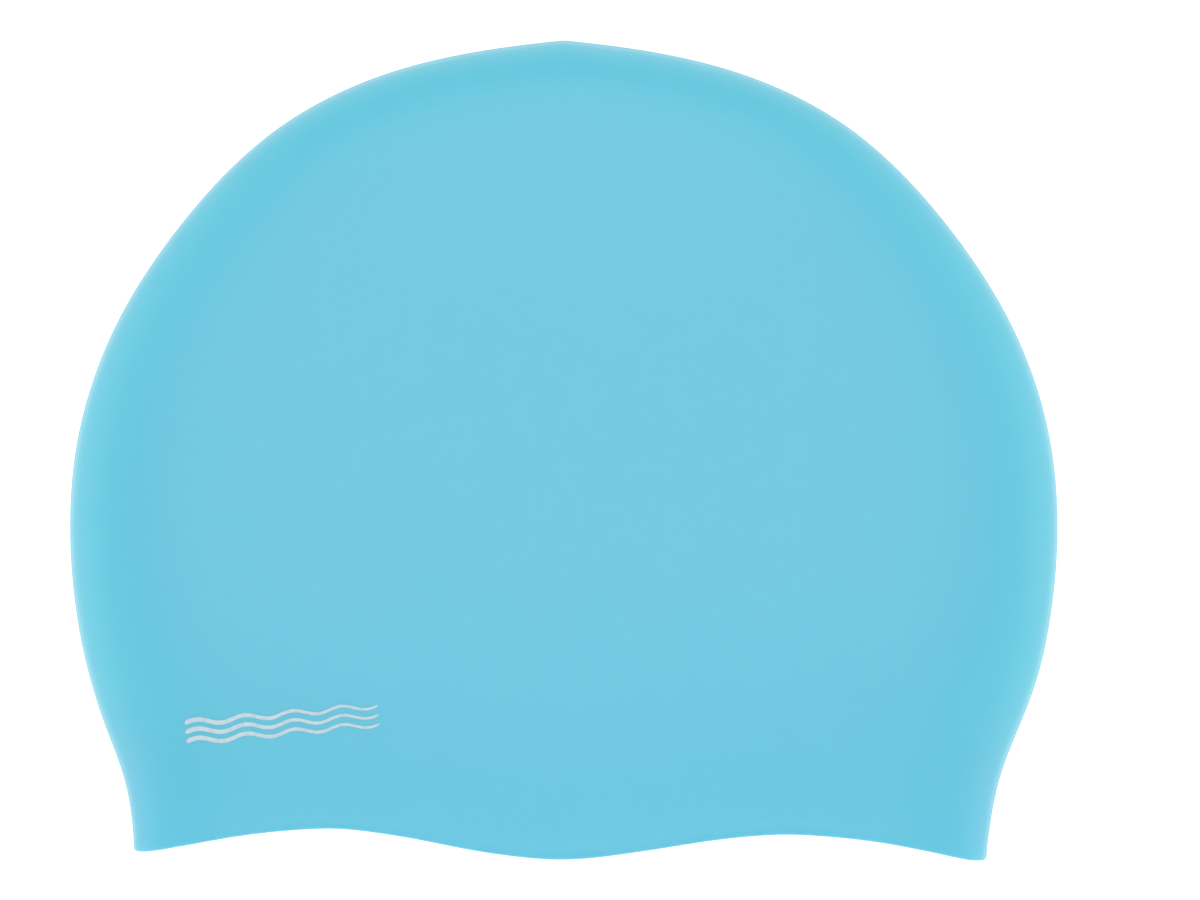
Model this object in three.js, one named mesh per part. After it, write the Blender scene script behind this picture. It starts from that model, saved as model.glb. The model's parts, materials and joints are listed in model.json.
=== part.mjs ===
// A moulded silicone swim cap, lying flat on its side. It is one hollow piece: two walls joined by a rounded
// fold round the crown and the sides, and open along a wavy, beaded rim. Millimetres, X across the cap, +Y
// towards the crown, +Z up, and the origin under the middle of the cap.
import * as THREE from 'three';
import { LoftGeometry } from 'three/addons/geometries/LoftGeometry.js';
import { mergeGeometries, mergeVertices } from 'three/addons/utils/BufferGeometryUtils.js';

// Outline, seen from above.
const capWidth = 224.86; // across the widest line
const crownRise = 111.13; // from the widest line to the tip of the crown
const skirtDrop = 75.6; // from the widest line to the lowest point of the rim
const archLift = 8.1; // of the higher arch in the rim

// Fullness, seen from the rim.
const capThickness = 30; // where the cap is fullest
const foldHeight = 12; // of the fold over the surface that the cap lies on
const footInset = 14; // from the fold in to where the underside lies flat

// Wall, rim bead and the moulding line that runs round the fold.
const wall = 1;
const beadProud = 0.2;
const beadDepth = 1.8; // up from the rim
const beadFade = 2; // from the bead back to the plain wall
const lineProud = 0.22;
const lineWidth = 0.8;

// Steps of the mesh.
const crownSteps = 36;
const skirtSteps = 9;
const roundSteps = { over: 9, under: 6 };
const flatSteps = { over: 8, under: 10 };
const lipSteps = 4;
const tipSpread = 0.6; // degrees from the tip to the two lines that keep it crisp

const boxiness = 6; // power of the curve from the fold to the top: higher is flatter on top

const silicone = new THREE.MeshStandardMaterial({ color: 0x76cce3, roughness: 0.42, metalness: 0 });

// The crown against an ellipse of the cap's width and crown rise, by degrees up from the widest line. Both
// sides are alike, and the last rows draw the small tip.
const crownRows = [
  { turn: 0, reach: 1 },
  { turn: 10, reach: 1.0025 },
  { turn: 22, reach: 1.0003 },
  { turn: 37, reach: 0.995 },
  { turn: 45, reach: 0.9988 },
  { turn: 55, reach: 1.0057 },
  { turn: 67, reach: 1.0017 },
  { turn: 75, reach: 0.9959 },
  { turn: 81, reach: 0.994 },
  { turn: 86, reach: 0.9958 },
  { turn: 90, reach: 1.0005 },
];

// The skirt by shares of its drop, down from the widest line: its two sides as shares of half the width, and
// its fullness as a share of the thickness.
const skirtRows = [
  { drop: 0, left: 1, right: 1, fullness: 1 },
  { drop: 0.1, left: 0.9975, right: 0.9975, fullness: 0.999 },
  { drop: 0.25, left: 0.987, right: 0.987, fullness: 0.99 },
  { drop: 0.4, left: 0.9684, right: 0.9684, fullness: 0.968 },
  { drop: 0.5, left: 0.95, right: 0.9485, fullness: 0.944 },
  { drop: 0.6, left: 0.9277, right: 0.9208, fullness: 0.914 },
  { drop: 0.7, left: 0.9002, right: 0.892, fullness: 0.88 },
  { drop: 0.8, left: 0.881, right: 0.8735, fullness: 0.842 },
  { drop: 0.9, left: 0.8733, right: 0.862, fullness: 0.8 },
  { drop: 1, left: 0.871, right: 0.856, fullness: 0.757 },
];

// The rim from its left corner to its right one, as shares of half the rim: its lift over the lowest point as
// a share of the higher arch.
const rimRows = [
  { across: -1, lift: 0.254 },
  { across: -0.89, lift: 0.453 },
  { across: -0.75, lift: 0.772 },
  { across: -0.56, lift: 1 },
  { across: -0.375, lift: 0.752 },
  { across: -0.19, lift: 0.32 },
  { across: 0, lift: 0.093 },
  { across: 0.19, lift: 0.343 },
  { across: 0.375, lift: 0.68 },
  { across: 0.54, lift: 0.817 },
  { across: 0.7, lift: 0.674 },
  { across: 0.89, lift: 0.241 },
  { across: 0.96, lift: 0.04 },
  { across: 1, lift: 0 },
];

// A smooth line through one column of a table, level where the table starts.
function curve(rows, key, column) {
  const line = new THREE.CubicInterpolant(rows.map((row) => row[key]), rows.map((row) => row[column]), 1);
  line.settings = { endingStart: THREE.ZeroSlopeEnding, endingEnd: THREE.ZeroCurvatureEnding };
  return (at) => line.evaluate(at)[0];
}

const crownReach = curve(crownRows, 'turn', 'reach');
const leftSide = { sign: -1, reach: curve(skirtRows, 'drop', 'left') };
const rightSide = { sign: 1, reach: curve(skirtRows, 'drop', 'right') };
const skirtFullness = curve(skirtRows, 'drop', 'fullness');
const rimLift = curve(rimRows, 'across', 'lift');

const lip = (wall + beadProud) / 2; // how far the rounded edge of the rim stands out below both walls

// The two faces of the wall: how far each lies out from the cap's size at its sides and top, how high its
// underside lies, how far the bead lifts its top and its underside, and how far the moulding line stands out.
const outerFace = { grow: 0, base: 0, topBead: beadProud, baseBead: 0, line: lineProud };
const innerFace = { grow: -wall, base: wall, topBead: 0, baseBead: beadProud, line: 0 };

// Cosines of even steps up a quarter turn, without the last one.
function quarterCosines(steps) {
  return Array.from({ length: steps }, (_, step) => Math.cos((Math.PI / 2) * (step / steps)));
}

// The points across one face from the middle of the underside, out round the fold, to the middle of the top.
// place gives the plan position at a share of the way out; reach is that way's length.
function acrossFace(face, place, reach, fullness, bead) {
  const fold = foldHeight * fullness;
  const top = capThickness * fullness + face.grow + face.topBead * bead;
  const base = face.base + face.baseBead * bead;
  const foot = (footInset + face.grow) / reach;
  const under = (cosine) => [1 - foot * (1 - Math.sqrt(1 - cosine ** 2)), fold - (fold - base) * cosine];
  const over = (cosine) => [(1 - cosine ** 2) ** (1 / boxiness), fold + (top - fold) * cosine];

  const points = [];
  const add = ([share, height]) => {
    const plan = place(share);
    points.push(new THREE.Vector3(plan.x, plan.y, height));
  };
  const overCosines = quarterCosines(roundSteps.over).slice(1);
  const flatOver = over(overCosines[0])[0];
  for (let step = 0; step < flatSteps.under; step += 1) {
    add([(1 - foot) * (step / flatSteps.under), base]);
  }
  for (const cosine of quarterCosines(roundSteps.under)) {
    add(under(cosine));
  }
  add(under(lineWidth / 2 / (fold - base)));
  add([1 + face.line / reach, fold]);
  add(over(lineWidth / 2 / (top - fold)));
  for (const cosine of overCosines.reverse()) {
    add(over(cosine));
  }
  for (let step = flatSteps.over - 1; step >= 0; step -= 1) {
    const share = flatOver * (step / flatSteps.over);
    add([share, fold + (top - fold) * Math.sqrt(1 - share ** boxiness)]);
  }
  return points;
}

// Across the skirt on one side, at a share of the climb from the rim to the widest line.
function acrossSkirt(face, side, climb, bead) {
  const rim = (across) => archLift * rimLift(across) - skirtDrop + lip;
  const drop = (-rim(side.sign) * (1 - climb)) / skirtDrop;
  const reach = (capWidth / 2) * side.reach(drop) + face.grow;
  const place = (share) => ({
    x: side.sign * reach * share,
    y: rim(side.sign * Math.min(share, 1)) * (1 - climb),
  });
  return acrossFace(face, place, reach, skirtFullness(1 - climb), bead);
}

// Across the crown, from the middle of the widest line out along one turn, 0 to 180 degrees from the right.
function acrossCrown(face, turn) {
  const angle = THREE.MathUtils.degToRad(turn);
  const share = crownReach(Math.min(turn, 180 - turn));
  const outline = new THREE.Vector2((capWidth / 2) * Math.cos(angle), crownRise * Math.sin(angle));
  outline.multiplyScalar(share);
  const reach = outline.length() + face.grow;
  outline.setLength(reach);
  return acrossFace(face, (way) => outline.clone().multiplyScalar(way), reach, 1, 0);
}

// Climbs of the skirt's lines: the bead's own four, then even steps to the widest line.
function skirtLines() {
  const lines = [
    { climb: 0, bead: 1 },
    { climb: beadDepth / 2 / skirtDrop, bead: 1 },
    { climb: beadDepth / skirtDrop, bead: 1 },
    { climb: (beadDepth + beadFade) / skirtDrop, bead: 0 },
  ];
  const start = lines.at(-1).climb;
  for (let step = 1; step <= skirtSteps; step += 1) {
    lines.push({ climb: start + (1 - start) * (step / skirtSteps), bead: 0 });
  }
  return lines;
}

// One face of the wall: lines from the left end of the rim, round the crown, to the right end of the rim.
function faceLines(face) {
  const turns = [90 - tipSpread, 90 + tipSpread];
  for (let step = 1; step < crownSteps; step += 1) {
    turns.push(180 * (step / crownSteps));
  }
  turns.sort((a, b) => b - a);
  const left = skirtLines().map(({ climb, bead }) => acrossSkirt(face, leftSide, climb, bead));
  const right = skirtLines().map(({ climb, bead }) => acrossSkirt(face, rightSide, climb, bead));
  return [...left, ...turns.map((turn) => acrossCrown(face, turn)), ...right.reverse()];
}

// The whole loop of one face's edge at the rim, from the middle of the underside round by the left.
function rimLoop(lines) {
  const left = lines[0];
  const right = lines.at(-1);
  return [...left, ...right.slice(1, -1).reverse()];
}

// The rounded edge of the rim, from the inner face round to the outer one.
function rimLoops(inner, outer) {
  const loops = [];
  for (let step = 0; step <= lipSteps; step += 1) {
    const angle = Math.PI * (step / lipSteps);
    const share = (1 - Math.cos(angle)) / 2;
    const fall = new THREE.Vector3(0, -lip * Math.sin(angle), 0);
    loops.push(inner.map((point, index) => point.clone().lerp(outer[index], share).add(fall)));
  }
  return loops;
}

// Joins pieces of surface into one closed mesh: shared points become one, and triangles that the middle line
// shrinks to nothing are dropped.
function closeSurface(pieces) {
  const joined = mergeGeometries(pieces);
  joined.deleteAttribute('normal');
  joined.deleteAttribute('uv');
  const closed = mergeVertices(joined);
  const kept = [];
  const corners = closed.index.array;
  for (let start = 0; start < corners.length; start += 3) {
    const triangle = Array.from(corners.slice(start, start + 3));
    if (new Set(triangle).size === 3) {
      kept.push(...triangle);
    }
  }
  closed.setIndex(kept);
  closed.computeVertexNormals();
  return closed;
}

function capShell() {
  const outer = faceLines(outerFace);
  const inner = faceLines(innerFace);
  const turnedInward = inner.map((points) => [...points].reverse());
  const geometry = closeSurface([
    new LoftGeometry(outer, { closed: false }),
    new LoftGeometry(turnedInward, { closed: false }),
    new LoftGeometry(rimLoops(rimLoop(inner), rimLoop(outer))),
  ]);
  const shell = new THREE.Mesh(geometry, silicone);
  shell.name = 'cap_shell';
  return shell;
}

// The origin lies under the middle of the cap's box.
const shell = capShell();
const middle = new THREE.Box3().setFromObject(shell).getCenter(new THREE.Vector3());
shell.position.set(-middle.x, -middle.y, 0);

const swimCap = new THREE.Group();
swimCap.add(shell);

export default swimCap;
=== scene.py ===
# A light-blue silicone swim cap, lying flat on its side and seen from straight above. Metres, in the frame of
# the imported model: X across the cap, +Y towards its crown, +Z up.
import json
import math

import bpy
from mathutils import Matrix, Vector

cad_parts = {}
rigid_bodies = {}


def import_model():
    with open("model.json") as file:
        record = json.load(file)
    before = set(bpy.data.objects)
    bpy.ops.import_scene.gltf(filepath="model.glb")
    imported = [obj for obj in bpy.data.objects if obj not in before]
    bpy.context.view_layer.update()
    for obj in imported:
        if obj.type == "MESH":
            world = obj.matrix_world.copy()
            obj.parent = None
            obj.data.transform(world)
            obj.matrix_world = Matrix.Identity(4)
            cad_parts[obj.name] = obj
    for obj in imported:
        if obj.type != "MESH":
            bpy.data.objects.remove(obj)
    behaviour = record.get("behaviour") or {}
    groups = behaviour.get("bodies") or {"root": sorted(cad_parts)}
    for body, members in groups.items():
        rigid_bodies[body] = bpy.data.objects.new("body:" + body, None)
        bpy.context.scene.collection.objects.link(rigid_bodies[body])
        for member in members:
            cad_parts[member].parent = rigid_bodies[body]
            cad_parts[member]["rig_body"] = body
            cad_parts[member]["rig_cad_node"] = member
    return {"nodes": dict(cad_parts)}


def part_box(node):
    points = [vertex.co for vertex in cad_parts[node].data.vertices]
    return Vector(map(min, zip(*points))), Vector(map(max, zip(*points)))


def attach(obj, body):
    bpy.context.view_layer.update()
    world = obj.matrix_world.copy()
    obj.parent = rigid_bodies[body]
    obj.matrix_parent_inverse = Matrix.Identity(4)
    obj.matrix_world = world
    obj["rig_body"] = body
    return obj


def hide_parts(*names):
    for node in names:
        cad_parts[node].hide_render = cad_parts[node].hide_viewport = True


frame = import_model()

MM = 0.001

# The photograph, in its own pixels: its size, the place of the frame's origin in it, and its scale at the
# height of the cap's fold.
PHOTO_SIZE = (1200, 900)
PHOTO_ORIGIN = (563.8, 450.7)
MM_PER_PIXEL = 0.2279
FOLD_HEIGHT = 12 * MM

# The camera, in the millimetres that lenses and sensors are named by.
LENS = 200
SENSOR = 36

# The cap's mesh.
MERGE_DISTANCE = 0.01 * MM
FOUR_SIDED_ANGLE = math.radians(60)
SHARP_ANGLE = math.radians(50)
LINE_CREASE = 0.8
SUBDIVISIONS = 2

# The printed mark: its middle and tilt in the photograph, and its real sizes. Strokes go from bold to fine,
# and their two ends keep only a share of that width.
PRINT_AT = (285, 721)
PRINT_TILT = math.radians(5.4)
PRINT_LENGTH = 44 * MM
PRINT_STROKES = (1.1 * MM, 0.55 * MM)
PRINT_ENDS = 0.5
PRINT_SPACING = 2.1 * MM
PRINT_SWELL = 0.6 * MM
PRINT_WAVES = 4
PRINT_STEPS = 96
PRINT_FILM = 0.1 * MM
PRINT_LIFT = 10 * MM
PRINT_EDGE_ANGLE = math.radians(40)

# Colours, as linear light.
WHITE = (1, 1, 1, 1)
DEEP_BLUE = (0.0735, 0.36, 0.473, 1)
PALE_BLUE = (0.0815, 0.372, 0.49, 1)
# Painted light: a lighter, bluer tone for the fold's slopes, where light from the sides falls.
SLOPE_LIT_BLUE = (0.0755, 0.384, 0.491, 1)
DUST = (0.75, 0.8, 0.82, 1)
PRINT_WHITE = (0.369, 0.45, 0.487, 1)
PRINT_THIN = (0.302, 0.416, 0.47, 1)
FLOOR_WHITE = (0.5, 0.5, 0.5, 1)
FLOOR_COOL = (0.47, 0.49, 0.5, 1)
FLOOR_DIM = (0.7, 0.7, 0.7, 1)

# Patterns in the finishes, by how many lie in a metre.
BROAD_CLOUDS = 16
SMALL_CLOUDS = 90
GRAINS = 3200
PEBBLES = 700
FLOW_LINES = 420
SPECKS = 130
INK_PATCHES = 900
INK_GRAINS = 4000
FLOOR_CLOUDS = 6

# Flow lines are long towards the crown. A speck of dust fades out over these shares of the way to the next.
FLOW_STRETCH = (1, 0.06, 1)
SPECK_EDGE = (0.012, 0.03)
SPECK_COVER = 0.04

# A painted lighter, bluer tone on the fold's slopes stands in for light from the sides. It fades out over
# these heights, and fades in over these places above the rim, where less light falls.
SLOPE_LIGHT_TOP = (21 * MM, 28 * MM)
SLOPE_LIGHT_START = (-75 * MM, -50 * MM)

# The ink is thin where its patches are under the first number, and full over the second.
INK_COVER = (0.35, 0.6)

# The floor: its breadth, how far it lies under the cap, and where it turns dimmer.
FLOOR_SIZE = 8
FLOOR_DROP = 0.05 * MM
FLOOR_CLOUDINESS = 0.06
FLOOR_FADE = (0, 100 * MM)

# Light, as radiance. The tent's low glow fades out over these directions past the crown.
TENT_TOP = 0.75
TENT_GLOW = 1.4
TENT_SIDES = 0.6
TENT_BACK = (0.2, 0.9)
FLOOR_GLOW = 0.8
SOFTBOX_GLOW = 1.8
SOFTBOX_PLACE = (0, 0.85, 3)
SOFTBOX_SIZE = (3.6, 5.5)


def deselect_all():
    """Leaves no object selected, so that an operator acts only on what is chosen next."""
    bpy.ops.object.select_all(action="DESELECT")


def choose(piece):
    """Makes a piece the active object, and the only one selected."""
    deselect_all()
    piece.select_set(True)
    bpy.context.view_layer.objects.active = piece


def edit(piece, mode):
    choose(piece)
    bpy.ops.object.mode_set(mode="EDIT")
    bpy.ops.mesh.select_mode(type=mode)


def leave_edit():
    bpy.ops.object.mode_set(mode="OBJECT")


def apply_modifier(piece, kind, **settings):
    choose(piece)
    modifier = piece.modifiers.new(kind.title(), kind)
    for name, value in settings.items():
        setattr(modifier, name, value)
    bpy.ops.object.modifier_apply(modifier=modifier.name)


def photo_place(pixel):
    """The place in the frame, in plan, of a pixel of the photograph on the cap."""
    across = (pixel[0] - PHOTO_ORIGIN[0]) * MM_PER_PIXEL * MM
    along = (PHOTO_ORIGIN[1] - pixel[1]) * MM_PER_PIXEL * MM
    return across, along


class Value:
    """A shader socket whose arithmetic adds Math nodes."""

    def __init__(self, paint, socket):
        self.paint = paint
        self.socket = socket

    def maths(self, operation, first, second):
        return self.paint.add("ShaderNodeMath", {"operation": operation}, {0: first, 1: second})

    def __add__(self, other):
        return self.maths("ADD", self, other)

    __radd__ = __add__

    def __rsub__(self, other):
        return self.maths("SUBTRACT", other, self)

    def __mul__(self, other):
        return self.maths("MULTIPLY", self, other)

    __rmul__ = __mul__

    def __pow__(self, other):
        return self.maths("POWER", self, other)


class Paint:
    """The nodes of one material, or of the world."""

    def __init__(self, owner, shader="Principled BSDF"):
        owner.use_nodes = True
        self.owner = owner
        self.tree = owner.node_tree
        self.shader = self.tree.nodes[shader]

    def fill(self, node, sockets):
        for name, value in sockets.items():
            if isinstance(value, Value):
                self.tree.links.new(value.socket, node.inputs[name])
            else:
                node.inputs[name].default_value = value

    def add(self, kind, settings, sockets, output=0):
        node = self.tree.nodes.new(kind)
        for name, value in settings.items():
            setattr(node, name, value)
        self.fill(node, sockets)
        return Value(self, node.outputs[output])

    def finish(self, sockets):
        self.fill(self.shader, sockets)
        return self.owner

    def place(self):
        return self.add("ShaderNodeTexCoord", {}, {}, "Object")

    def axis(self, place, name):
        return self.add("ShaderNodeSeparateXYZ", {}, {"Vector": place}, name)

    def stretch(self, place, scale):
        return self.add("ShaderNodeMapping", {}, {"Vector": place, "Scale": scale})

    def noise(self, place, scale, detail=2):
        return self.add("ShaderNodeTexNoise", {}, {"Vector": place, "Scale": scale, "Detail": detail})

    def speck_distance(self, place, scale):
        """How far the nearest of many scattered specks is, as a share of the way between them."""
        return self.add("ShaderNodeTexVoronoi", {}, {"Vector": place, "Scale": scale}, "Distance")

    def step(self, value, low, high):
        """0 below low and 1 above high, smoothly between."""
        settings = {"interpolation_type": "SMOOTHSTEP"}
        return self.add("ShaderNodeMapRange", settings, {"Value": value, "From Min": low, "From Max": high})

    def mix(self, share, first, second):
        """The first colour at a share of 0 and the second at 1."""
        settings = {"data_type": "RGBA"}
        return self.add("ShaderNodeMix", settings, {0: share, 6: first, 7: second}, 2)

    def bump(self, height, distance, strength):
        return self.add("ShaderNodeBump", {}, {"Height": height, "Distance": distance, "Strength": strength})


def silicone():
    """Satin moulded silicone: a faint cloudiness, fine grain from the mould, flow lines, stray dust and a
    painted lighter, bluer tone round the fold for light falling from the sides."""
    paint = Paint(bpy.data.materials.new("silicone"))
    place = paint.place()
    broad = paint.noise(place, BROAD_CLOUDS)
    cloud = paint.noise(place, SMALL_CLOUDS, detail=3)
    grain = paint.noise(place, GRAINS)
    pebble = paint.noise(place, PEBBLES)
    flow = paint.noise(paint.stretch(place, FLOW_STRETCH), FLOW_LINES)
    dust = 1 - paint.step(paint.speck_distance(place, SPECKS), *SPECK_EDGE)
    lit_below_top = 1 - paint.step(paint.axis(place, "Z"), *SLOPE_LIGHT_TOP)
    lit_above_rim = paint.step(paint.axis(place, "Y"), *SLOPE_LIGHT_START)
    tint = broad * 0.5 + cloud * 0.3 + flow * 0.2
    colour = paint.mix(tint, DEEP_BLUE, PALE_BLUE)
    # Painted light: the slopes below the plateau are lighter and bluer, as if lit from the sides, but not
    # near the rim.
    colour = paint.mix(lit_below_top * lit_above_rim, colour, SLOPE_LIT_BLUE)
    colour = paint.mix(dust * SPECK_COVER, colour, DUST)
    height = grain * 0.5 + pebble * 0.4 + flow * 0.1
    return paint.finish({
        "Base Color": colour,
        "Roughness": 0.33 + cloud * 0.06 + broad * 0.04,
        "Normal": paint.bump(height, distance=0.03 * MM, strength=0.35),
        "IOR": 1.45,
        "Sheen Weight": 0.06,
        "Sheen Roughness": 0.35,
        "Subsurface Weight": 0.35,
        "Subsurface Radius": (0.6, 1.0, 1.2),
        "Subsurface Scale": 3 * MM,
    })


def print_ink():
    """Pale matt ink, a little thin in places, so that the blue shows through."""
    paint = Paint(bpy.data.materials.new("print_ink"))
    place = paint.place()
    cover = paint.step(paint.noise(place, INK_PATCHES, detail=3), *INK_COVER)
    grain = paint.noise(place, INK_GRAINS)
    return paint.finish({
        "Base Color": paint.mix(cover, PRINT_THIN, PRINT_WHITE),
        "Roughness": 0.5 + grain * 0.1,
        "Normal": paint.bump(grain, distance=0.02 * MM, strength=0.3),
    })


def floor_paint():
    """The lit white acrylic of a light table, with the least unevenness, dimmer past the crown."""
    paint = Paint(bpy.data.materials.new("floor_paint"))
    place = paint.place()
    cloud = paint.noise(place, FLOOR_CLOUDS)
    past_crown = paint.step(paint.axis(place, "Y"), *FLOOR_FADE)
    return paint.finish({
        "Base Color": paint.mix(cloud * FLOOR_CLOUDINESS, FLOOR_WHITE, FLOOR_COOL),
        "Roughness": 0.8 + cloud * 0.1,
        "Specular IOR Level": 0.2,
        "Emission Color": paint.mix(past_crown, WHITE, FLOOR_DIM),
        "Emission Strength": FLOOR_GLOW,
    })


def swim_cap():
    """The cap: a merged copy of its solid, made into four-sided faces, with a crisp moulding line, then
    subdivided."""
    cap = frame["nodes"]["cap_shell"].copy()
    cap.data = cap.data.copy()
    cap.name = "swim_cap"
    cap.parent = None
    # The copy is a piece of its own, so it doesn't keep the marks of the solid's node.
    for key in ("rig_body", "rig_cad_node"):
        if key in cap:
            del cap[key]
    bpy.context.scene.collection.objects.link(cap)
    edit(cap, "EDGE")
    bpy.ops.mesh.select_all(action="SELECT")
    bpy.ops.mesh.remove_doubles(threshold=MERGE_DISTANCE)
    bpy.ops.mesh.tris_convert_to_quads(face_threshold=FOUR_SIDED_ANGLE, shape_threshold=FOUR_SIDED_ANGLE)
    bpy.ops.mesh.select_all(action="DESELECT")
    bpy.ops.mesh.edges_select_sharp(sharpness=SHARP_ANGLE)
    bpy.ops.transform.edge_crease(value=LINE_CREASE)
    leave_edit()
    apply_modifier(cap, "SUBSURF", levels=SUBDIVISIONS, render_levels=SUBDIVISIONS)
    choose(cap)
    bpy.ops.object.shade_smooth()
    cap.data.materials.clear()
    cap.data.materials.append(silicone())
    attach(cap, "root")
    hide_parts("cap_shell")
    return cap


def wave_stroke(row):
    """One printed stroke: a strip whose columns are narrowed from bold to fine, and more at its two ends, and
    moved up and down into a wave."""
    deselect_all()
    bpy.ops.mesh.primitive_grid_add(x_subdivisions=PRINT_STEPS, y_subdivisions=2, size=1)
    stroke = bpy.context.object
    bpy.ops.transform.resize(value=(PRINT_LENGTH, 1, 1))
    bpy.ops.object.transform_apply(location=True, rotation=True, scale=True)
    bold, fine = PRINT_STROKES
    near = PRINT_LENGTH / PRINT_STEPS / 4
    edit(stroke, "VERT")
    for column in range(PRINT_STEPS + 1):
        share = column / PRINT_STEPS
        along = (share - 0.5) * PRINT_LENGTH
        bpy.ops.mesh.select_all(action="DESELECT")
        leave_edit()
        for vertex in stroke.data.vertices:
            vertex.select = abs(vertex.co.x - along) < near
        bpy.ops.object.mode_set(mode="EDIT")
        width = bold + (fine - bold) * share
        if column in (0, PRINT_STEPS):
            width *= PRINT_ENDS
        bpy.ops.transform.resize(value=(1, width, 1))
        lift = PRINT_SWELL * math.sin(share * PRINT_WAVES * math.tau)
        bpy.ops.transform.translate(value=(0, lift + row * PRINT_SPACING, 0))
    leave_edit()
    return stroke


def wave_print(cap):
    """Three short waves, one above the other, laid on the face and given the thickness of a film of ink."""
    strokes = [wave_stroke(row) for row in (-1, 0, 1)]
    deselect_all()
    for stroke in strokes:
        stroke.select_set(True)
    bpy.context.view_layer.objects.active = strokes[0]
    bpy.ops.object.join()
    mark = strokes[0]
    mark.name = "wave_print"
    across, along = photo_place(PRINT_AT)
    mark.rotation_euler = (0, 0, PRINT_TILT)
    mark.location = (across, along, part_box("cap_shell")[1].z + PRINT_LIFT)
    choose(mark)
    bpy.ops.object.transform_apply(location=True, rotation=True, scale=True)
    apply_modifier(
        mark, "SHRINKWRAP", target=cap, wrap_method="PROJECT", use_project_z=True,
        use_negative_direction=True, use_positive_direction=False,
    )
    apply_modifier(mark, "SOLIDIFY", thickness=PRINT_FILM, offset=0)
    choose(mark)
    bpy.ops.object.shade_smooth_by_angle(angle=PRINT_EDGE_ANGLE)
    mark.data.materials.append(print_ink())
    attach(mark, "root")


def floor():
    deselect_all()
    bpy.ops.mesh.primitive_plane_add(size=FLOOR_SIZE, location=(0, 0, -FLOOR_DROP))
    table_top = bpy.context.object
    table_top.name = "floor"
    table_top.data.materials.append(floor_paint())


def softbox():
    """A large oval softbox overhead, turned to the cap, as bright as a surface of its radiance."""
    deselect_all()
    bpy.ops.object.light_add(type="AREA", location=SOFTBOX_PLACE)
    box = bpy.context.object
    box.name = "overhead"
    box.data.shape = "ELLIPSE"
    box.data.size, box.data.size_y = SOFTBOX_SIZE
    area = math.pi / 4 * SOFTBOX_SIZE[0] * SOFTBOX_SIZE[1]
    box.data.energy = SOFTBOX_GLOW * math.pi * area
    box.rotation_euler = (-Vector(SOFTBOX_PLACE)).to_track_quat("-Z", "Y").to_euler()


def light_tent():
    """A white light tent. It is brighter low down, though less so past the crown, and most of all at its
    sides."""
    world = bpy.data.worlds.new("light_tent")
    paint = Paint(world, "Background")
    direction = paint.add("ShaderNodeTexCoord", {}, {}, "Generated")
    height = paint.axis(direction, "Z")
    aside = paint.axis(direction, "X")
    past_crown = paint.step(paint.axis(direction, "Y"), *TENT_BACK)
    glow = TENT_GLOW * (1 - past_crown) + TENT_SIDES * aside * aside
    paint.finish({"Color": WHITE, "Strength": TENT_TOP + glow * (1 - height) ** 2})
    bpy.context.scene.world = world


def camera():
    """Straight above, with a long lens, framed as the photograph is."""
    width = PHOTO_SIZE[0] * MM_PER_PIXEL * MM
    shot = bpy.data.cameras.new("camera")
    shot.lens = LENS
    shot.sensor_width = SENSOR
    distance = width * LENS / SENSOR
    holder = bpy.data.objects.new("camera", shot)
    across, along = photo_place((PHOTO_SIZE[0] / 2, PHOTO_SIZE[1] / 2))
    holder.location = (across, along, FOLD_HEIGHT + distance)
    bpy.context.scene.collection.objects.link(holder)
    bpy.context.scene.camera = holder


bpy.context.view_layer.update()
bpy.context.scene.view_settings.view_transform = "Standard"
camera()
light_tent()
softbox()
floor()
cap = swim_cap()
wave_print(cap)
